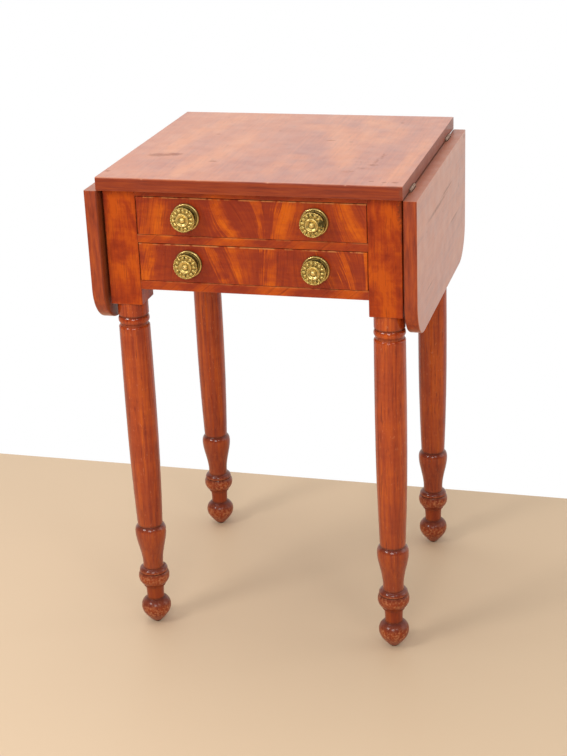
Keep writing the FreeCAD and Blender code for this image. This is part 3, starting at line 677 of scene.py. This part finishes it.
railFlame = {
    "leans": ((-166, 1.2), (166, 1.2)),
    "bright": ((-166, 0.25), (-150, 0.6), (-128, 0.55), (-110, 0.15), (-70, 0.2), (-48, 0.7), (-10, 0.5),
               (10, 0.15), (50, 0.2), (75, 0.5), (95, 0.2), (112, 0.35), (150, 0.3), (166, 0.2)),
    "glows": onFront(((-25, 645, 24, 8), (-125, 645, 14, 8))),
    "shades": (),
}

railMirrored = tuple((-place, value) for place, value in reversed(railFlame["bright"]))
bottomRailFlame = dict(railFlame, bright=railMirrored)

veneerLook = dict(
    mahoganyLook,
    dark=(0.26, 0.027, 0.008), middle=(0.345, 0.042, 0.007), light=(0.49, 0.075, 0.004),
    glow=(0.6, 0.11, 0.003), flameStops=(0.0, 0.25, 0.7, 1.0),
    veneerDepth=(2.0 * millimetre, 2.4 * millimetre),      # where the veneer ends and the core begins
    halfWidth=168.0 * millimetre,                          # a little past the ends of a drawer front
    leanReach=1.5,                                         # the steepest lean that the ramp can hold
    # how far the bands wander, and how far their edges split and fade in fine streaks
    wanderNoise=((45.0, 45.0, 26.0), 3.0), wanderReach=24.0 * millimetre,
    fibreNoise=((150.0, 150.0, 20.0), 4.0, 0.6), fibreReach=18.0 * millimetre,
    streakNoise=((420.0, 420.0, 13.0), 4.0, 0.6), streakReach=34.0 * millimetre,
    streakShare=0.75, glowStreakShare=1.3, streakMiddle=0.48,
    rippleNoise=((26.0, 26.0, 210.0), 3.0), rippleShare=0.55,
    cloudNoise=((24.0, 24.0, 30.0), 4.0, 0.6), cloudShare=0.9, cloudMiddle=0.46,
    cloudLimits=(0.3, 0.62), cloudDim=0.45, cloudFull=0.95,    # brightness of the flames that clouds leave
    glowShare=0.4, shadeShare=-0.45,
    vesselColour=(0.17, 0.016, 0.005), vesselShare=0.5,
    vesselNoise=((260.0, 260.0, 17.0), 3.0, 0.55, 0.4), vesselLimits=(0.58, 0.7),
    hollowShare=0.4, hollowReach=3.0 * millimetre, edgeShare=0.5, edgeWidth=1.2 * millimetre,
    # worn lips along the upper edge, and along the lower one, where they are narrower by lowerLip
    lipColour=(0.6, 0.21, 0.06), lipShare=0.85, lipNoise=(75.0, 5.0, 0.65), lipLimits=(0.42, 0.56),
    lipReach=(2.2 * millimetre, 1.1 * millimetre), lowerLip=3.0,
    roughness=0.32,
)

railLook = dict(
    veneerLook, lipShare=0.3, streakShare=0.35, glowStreakShare=0.6, streakReach=14.0 * millimetre,
)


def flameFigure(tree, place, follow, sheared, look):
    # flames dimmed by clouds, with streaks that are strongest in the flames, ripples and patches
    patterns = {}
    for kind in ("streak", "fibre"):
        patterns[kind] = noise(tree, follow, *look[kind + "Noise"])
    for kind in ("wander", "ripple", "cloud"):
        patterns[kind] = noise(tree, place, *look[kind + "Noise"])
    for kind in ("wander", "fibre", "streak"):
        sheared = addPattern(tree, sheared, patterns[kind], look[kind + "Reach"])
    bright = bandsAcross(tree, sheared, look)
    cloudy = remap(tree, patterns["cloud"], *look["cloudLimits"], look["cloudDim"], look["cloudFull"])
    figure = calc(tree, "MULTIPLY", bright, cloudy)
    gain = look["glowStreakShare"] - look["streakShare"]
    streakShare = calc(tree, "MULTIPLY_ADD", bright, gain, look["streakShare"])
    figure = addPattern(tree, figure, patterns["streak"], streakShare, look["streakMiddle"])
    figure = addPattern(tree, figure, patterns["ripple"], look["rippleShare"])
    figure = addPattern(tree, figure, patterns["cloud"], look["cloudShare"], look["cloudMiddle"])
    return addPatches(tree, place, figure, look), patterns["streak"]


def makeVeneer(name, node, flame, look):
    material, tree, shader, place = startMaterial(name)
    look = dict(look, **flame)
    lowest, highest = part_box(node)
    axes = axesOf(tree, place)
    rise = calc(tree, "SUBTRACT", axes["Z"], (lowest.z + highest.z) / 2)
    sheared = leaning(tree, axes["X"], rise, look)
    follow = addNode(tree, "CombineXYZ", {0: sheared, 1: axes["Y"], 2: axes["Z"]}).outputs[0]
    figure, streak = flameFigure(tree, place, follow, sheared, look)
    colours = (look["dark"], look["middle"], look["light"], look["glow"])
    colour = toned(tree, figure, look["flameStops"], *colours)
    colour = layer(tree, colour, limited(tree, follow, look, "vessel"), look, "vessel")
    fromTop = calc(tree, "SUBTRACT", highest.z, axes["Z"])
    fromBottom = calc(tree, "MULTIPLY", calc(tree, "SUBTRACT", axes["Z"], lowest.z), look["lowerLip"])
    lip = remap(tree, calc(tree, "MINIMUM", fromTop, fromBottom), *look["lipReach"])
    lip = calc(tree, "MULTIPLY", lip, limited(tree, place, look, "lip"))
    colour = layer(tree, colour, lip, look, "lip")
    depth = calc(tree, "SUBTRACT", axes["Y"], lowest.y)
    colour = mixColour(tree, remap(tree, depth, *look["veneerDepth"]), colour, look["middle"])
    finishWood(tree, shader, place, colour, streak, porePattern(tree, follow, look), look)
    return material


pineLook = dict(
    mahoganyLook, along="y",
    dark=(0.34, 0.165, 0.065), middle=(0.47, 0.25, 0.105), light=(0.58, 0.34, 0.155),
    broadShare=0.6, streakShare=0.7, poreShare=0.15, poreColour=(0.2, 0.1, 0.05),
    edgeShare=0.2, edgeColour=(0.6, 0.42, 0.25), hollowColour=(0.12, 0.07, 0.035),
    roughness=0.62, specular=0.35, coat=0.0, relief=0.3,
)


# Metals

brassLook = {
    "bright": (0.92, 0.69, 0.25),
    "aged": (0.58, 0.42, 0.12),
    "patinaColour": (0.065, 0.05, 0.014), "patinaShare": 0.92,
    "metal": 0.8,
    "stainNoise": (260.0, 4.0, 0.6), "stainLimits": (0.38, 0.62),
    "roughness": 0.32, "roughLimits": (0.3, 0.7), "smoother": 0.06, "rougher": 0.1, "patinaRough": 0.3,
    "hollowReach": 2.0 * millimetre, "hollowSamples": 8,
    "relief": 0.25, "reliefDepth": 0.1 * millimetre,
    "rubbedBy": None,          # the mesh's own values of how bright it is rubbed
}

castLook = dict(
    brassLook, hollowReach=1.6 * millimetre, rubbedBy="relief", stainShare=1.5,
    darkLimits=(0.36, 0.05), brightLimits=(0.35, 0.95),
)

steelLook = dict(
    brassLook, bright=(0.44, 0.29, 0.21), aged=(0.27, 0.15, 0.1), patinaColour=(0.09, 0.045, 0.03),
    metal=0.5, roughness=0.5,
)

ironLook = dict(
    brassLook, bright=(0.2, 0.18, 0.16), aged=(0.1, 0.07, 0.05), patinaColour=(0.06, 0.03, 0.018),
    metal=0.9, roughness=0.5,
)


def makeMetal(name, look):
    material, tree, shader, place = startMaterial(name)
    stain = noise(tree, place, *look["stainNoise"])
    deep = hollowMask(tree, look)
    rubbed = remap(tree, stain, *look["stainLimits"])
    if look["rubbedBy"]:
        raised = addNode(tree, "Attribute", attribute_name=look["rubbedBy"]).outputs["Fac"]
        raised = addPattern(tree, raised, stain, look["stainShare"])
        deep = calc(tree, "MAXIMUM", deep, remap(tree, raised, *look["darkLimits"]))
        rubbed = remap(tree, raised, *look["brightLimits"])
    colour = mixColour(tree, rubbed, look["aged"], look["bright"])
    feed(tree, shader.inputs["Base Color"], layer(tree, colour, deep, look, "patina"))
    shader.inputs["Metallic"].default_value = look["metal"]
    roughest = look["roughness"] + look["rougher"]
    smoothest = look["roughness"] - look["smoother"]
    rough = remap(tree, stain, *look["roughLimits"], roughest, smoothest)
    feed(tree, shader.inputs["Roughness"], calc(tree, "MULTIPLY_ADD", deep, look["patinaRough"], rough))
    inputs = {"Height": stain, "Strength": look["relief"], "Distance": look["reliefDepth"]}
    feed(tree, shader.inputs["Normal"], addNode(tree, "Bump", inputs).outputs["Normal"])
    return material


legWood = makeLegWood("turnedMahogany", legLook)
boardWood = makeTopWood("tableTopMahogany", topLook)
leafWood = makeTopWood("leafMahogany", leafLook)
sideWood = makeWood("sideMahogany", dict(mahoganyLook, along="y"))
backWood = makeWood("backMahogany", dict(mahoganyLook, along="x"))
topRailWood = makeVeneer("topRailVeneer", "front_top_rail", railFlame, railLook)
middleRailWood = makeVeneer("middleRailVeneer", "front_middle_rail", railFlame, railLook)
bottomRailWood = makeVeneer("bottomRailVeneer", "front_bottom_rail", bottomRailFlame, railLook)
upperVeneer = makeVeneer("upperDrawerVeneer", "upper_drawer_front", upperFlame, veneerLook)
lowerVeneer = makeVeneer("lowerDrawerVeneer", "lower_drawer_front", lowerFlame, veneerLook)
innerPine = makeWood("agedPine", pineLook)
crossPine = makeWood("crossPine", dict(pineLook, along="x"))
agedBrass = makeMetal("agedBrass", brassLook)
castBrass = makeMetal("castBrass", castLook)
wornSteel = makeMetal("wornSteel", steelLook)
darkIron = makeMetal("darkIron", ironLook)
print("materials are made")


# Which node wears which finish, by the start of its name: all others are pine

finishes = (
    (boardWood, ("top_board",)),
    (leafWood, ("leaf_",)),
    (sideWood, ("outer_apron_", "fly_bracket_")),
    (backWood, ("back_apron",)),
    (crossPine, ("upper_drawer_b", "lower_drawer_b", "drawer_stops")),
    (legWood, ("leg_",)),
    (topRailWood, ("front_top_rail",)),
    (middleRailWood, ("front_middle_rail",)),
    (bottomRailWood, ("front_bottom_rail",)),
    (upperVeneer, ("upper_drawer_front",)),
    (lowerVeneer, ("lower_drawer_front",)),
    (agedBrass, ("upper_left_knob", "upper_right_knob", "lower_left_knob", "lower_right_knob")),
    (wornSteel, ("hinge_",)),
    (darkIron, ("top_screws", "fly_pins", "upper_knob_nuts", "lower_knob_nuts")),
)


def wear(node, material):
    mesh = nodes[node].data
    if not mesh.materials:
        mesh.materials.append(material)
    for index in range(len(mesh.materials)):
        mesh.materials[index] = material


for nodeName in nodes:
    chosen = innerPine
    for finish, starts in finishes:
        if nodeName.startswith(starts):
            chosen = finish
    wear(nodeName, chosen)
print("finishes are on the nodes")


# Knob faces: a cast rosette of beads, petals, a ring and a boss. Sizes are in millimetres

rosetteLook = {
    # radius and height: the rim, the floor under the petals, the ring, its hollow and the boss
    "plate": ((15.8, 0.0), (17.4, 0.5), (18.0, 1.5), (17.6, 2.4), (16.7, 2.8), (15.9, 2.5), (15.4, 2.0),
              (10.3, 2.2), (9.9, 2.9), (9.5, 4.2), (9.0, 4.9), (8.4, 5.1), (7.8, 4.9), (6.7, 4.1),
              (5.6, 3.5), (4.7, 3.3), (3.9, 3.3), (3.7, 4.1), (3.1, 5.1), (2.2, 5.8), (1.1, 6.3),
              (0.0, 6.4)),
    "steps": 96,
    "petals": 14, "petalMiddle": 12.9, "petalBase": 2.2, "petalTaper": 0.7,
    "petalLength": 6.0, "petalWidth": 4.4, "petalHeight": 2.8,
    "ribLength": 4.8, "ribWidth": 0.968, "ribLift": 0.45,       # a rib along each petal, as high as it
    "beads": 28, "beadRing": 16.9, "beadBase": 2.0, "beadTaper": 0.4,
    "beadLength": 2.2, "beadWidth": 2.6, "beadHeight": 2.6,
    "lobeSegments": 20, "lobeRings": 12,
    "voxel": 0.22, "softening": 0.5,
    # how brightly each ring is rubbed: its outer radius, the level that stays dark, the height over which
    # it brightens, and its brightness
    "rubbed": ((3.95, 2.0, 0.5, 1.0), (4.6, 9.0, 1.0, 0.0), (9.4, 1.6, 3.4, 0.8), (30.0, 0.9, 3.4, 0.78)),
}
weldDistance = 0.005 * millimetre


def copyOf(piece, name):
    copy = piece.copy()
    copy.data = piece.data.copy()
    copy.name = name
    copy.data.name = name
    bpy.context.collection.objects.link(copy)
    return copy


def spinProfile(name, profile, steps):
    # a half outline in the XZ plane, spun about Z: (radius, height) in millimetres
    bpy.ops.object.select_all(action="DESELECT")
    bpy.ops.mesh.primitive_plane_add(size=millimetre)
    piece = bpy.context.object
    piece.name = name
    bpy.ops.object.mode_set(mode="EDIT")
    bpy.ops.mesh.select_all(action="SELECT")
    bpy.ops.mesh.merge(type="CENTER")
    bpy.ops.transform.translate(value=(profile[0][0] * millimetre, 0.0, profile[0][1] * millimetre))
    for (radius, height), (nextRadius, nextHeight) in zip(profile, profile[1:]):
        step = ((nextRadius - radius) * millimetre, 0.0, (nextHeight - height) * millimetre)
        bpy.ops.mesh.extrude_vertices_move(TRANSFORM_OT_translate={"value": step})
    bpy.ops.mesh.select_all(action="SELECT")
    bpy.ops.mesh.spin(steps=steps, angle=2 * math.pi, center=(0, 0, 0), axis=(0, 0, 1))
    bpy.ops.mesh.select_all(action="SELECT")
    bpy.ops.mesh.remove_doubles(threshold=weldDistance)
    bpy.ops.mesh.normals_make_consistent(inside=False)
    bpy.ops.object.mode_set(mode="OBJECT")
    return piece


def addLobes(look, number, ring, base, size, taper):
    # one rounded lobe, tapered towards the middle of the knob, copied round a ring
    bpy.ops.object.select_all(action="DESELECT")
    bpy.ops.mesh.primitive_uv_sphere_add(segments=look["lobeSegments"], ring_count=look["lobeRings"],
                                         radius=millimetre / 2)
    lobe = bpy.context.object
    bpy.ops.object.mode_set(mode="EDIT")
    bpy.ops.mesh.select_all(action="SELECT")
    bpy.ops.transform.resize(value=size)
    bpy.ops.object.mode_set(mode="OBJECT")
    for vertex in lobe.data.vertices:
        vertex.co.y *= 1.0 + taper * vertex.co.x / (size[0] * millimetre)
    lobe.data.transform(Matrix.Translation((ring * millimetre, 0.0, base * millimetre)))
    lobes = [lobe]
    for count in range(1, number):
        copy = copyOf(lobe, "lobe")
        copy.data.transform(Matrix.Rotation(2 * math.pi * count / number, 4, "Z"))
        lobes.append(copy)
    return lobes


def markRelief(piece, rings):
    # how far each point stands out and is rubbed bright, kept on the mesh for its material
    relief = piece.data.attributes.new("relief", "FLOAT", "POINT")
    for vertex, mark in zip(piece.data.vertices, relief.data):
        radius = vertex.co.xy.length / millimetre
        for outer, level, height, brightness in rings:
            if radius <= outer:
                mark.value = brightness * min(max((vertex.co.z / millimetre - level) / height, 0.0), 1.0)
                break


def makeRosette(look):
    plate = spinProfile("rosette", look["plate"] + ((0.0, 0.0),) + look["plate"][:1], look["steps"])
    petal = (look["petalLength"], look["petalWidth"], look["petalHeight"])
    base = look["petalBase"]
    lobes = addLobes(look, look["petals"], look["petalMiddle"], base, petal, look["petalTaper"])
    rib = (look["ribLength"], look["ribWidth"], look["petalHeight"])
    lobes += addLobes(look, look["petals"], look["petalMiddle"], base + look["ribLift"], rib, 0.0)
    bead = (look["beadLength"], look["beadWidth"], look["beadHeight"])
    lobes += addLobes(look, look["beads"], look["beadRing"], look["beadBase"], bead, look["beadTaper"])
    bpy.ops.object.select_all(action="DESELECT")
    for lobe in lobes:
        lobe.select_set(True)
    plate.select_set(True)
    bpy.context.view_layer.objects.active = plate
    bpy.ops.object.join()
    remesh = plate.modifiers.new("castInOne", "REMESH")
    remesh.mode = "VOXEL"
    remesh.voxel_size = look["voxel"] * millimetre
    bpy.ops.object.modifier_apply(modifier=remesh.name)
    soften = plate.modifiers.new("worn", "SMOOTH")
    soften.factor = look["softening"]
    soften.iterations = 1
    bpy.ops.object.modifier_apply(modifier=soften.name)
    bpy.ops.object.shade_smooth()
    markRelief(plate, look["rubbed"])
    return plate


roseLook = {
    # radius and height: the flat back, the rim, a fine bead inside it and the hole for the stem
    "profile": ((2.5, 0.0), (19.9, 0.0), (20.0, 1.0), (19.7, 2.1), (19.0, 3.0), (18.3, 3.2), (17.6, 2.9),
                (17.1, 2.1), (16.7, 1.5), (16.2, 1.5), (15.8, 2.0), (15.3, 2.1), (14.8, 1.7), (14.3, 1.2),
                (9.5, 1.0), (2.5, 1.0), (2.5, 0.0)),
    "steps": 96,
    "sharpDegrees": 40,                                         # edges above this angle stay sharp
    "rubbed": ((14.6, 9.0, 1.0, 0.0), (30.0, 1.0, 2.2, 0.9)),   # as for the rosette: dark inside its rim, patina with painted shade under the knob face
}


def makeRose(look):
    rose = spinProfile("rose", look["profile"], look["steps"])
    bpy.ops.object.shade_smooth_by_angle(angle=math.radians(look["sharpDegrees"]))
    markRelief(rose, look["rubbed"])
    return rose


# how far each rosette is turned, how bright it is rubbed, and a corroded patch: place from the middle
# along X and Z, then its reach, in millimetres
knobLooks = {
    "upper_left": {"turn": 0.1, "rubbed": 1.0},
    "upper_right": {"turn": 0.75, "rubbed": 0.86, "patch": (14.5, 2.0, 5.0)},
    "lower_left": {"turn": 1.35, "rubbed": 0.92},
    "lower_right": {"turn": 2.2, "rubbed": 0.84},
}


def setOnDrawer(piece, place, turn):
    stand = Matrix.Translation(place) @ Matrix.Rotation(math.pi / 2, 4, "X") @ Matrix.Rotation(turn, 4, "Z")
    piece.data.transform(stand)


def tarnish(piece, place, rubbed, patch):
    across, up, reach = patch or (0.0, 0.0, 0.0)
    middle = place + Vector((across, 0.0, up)) * millimetre
    for vertex, mark in zip(piece.data.vertices, piece.data.attributes["relief"].data):
        away = (vertex.co - middle) / millimetre
        corroded = math.hypot(away.x, away.z) < reach
        mark.value *= 0.0 if corroded else rubbed


rosette = makeRosette(rosetteLook)
rose = makeRose(roseLook)
for knob, knobLook in knobLooks.items():
    body = knob.split("_")[0] + "_drawer"
    for model, part in ((rosette, "face"), (rose, "rose")):
        node = knob + "_knob_" + part
        lowest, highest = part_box(node)
        place = Vector(((lowest.x + highest.x) / 2, highest.y, (lowest.z + highest.z) / 2))
        piece = copyOf(model, knob + "_rosette" if part == "face" else knob + "_back_plate")
        setOnDrawer(piece, place, knobLook["turn"])
        patch = knobLook.get("patch") if part == "face" else None
        tarnish(piece, place, knobLook["rubbed"], patch)
        piece.data.materials.clear()
        piece.data.materials.append(castBrass)
        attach(piece, body)
        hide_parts(node)
for model in (rosette, rose):
    bpy.data.objects.remove(model)
print("knobs are made")
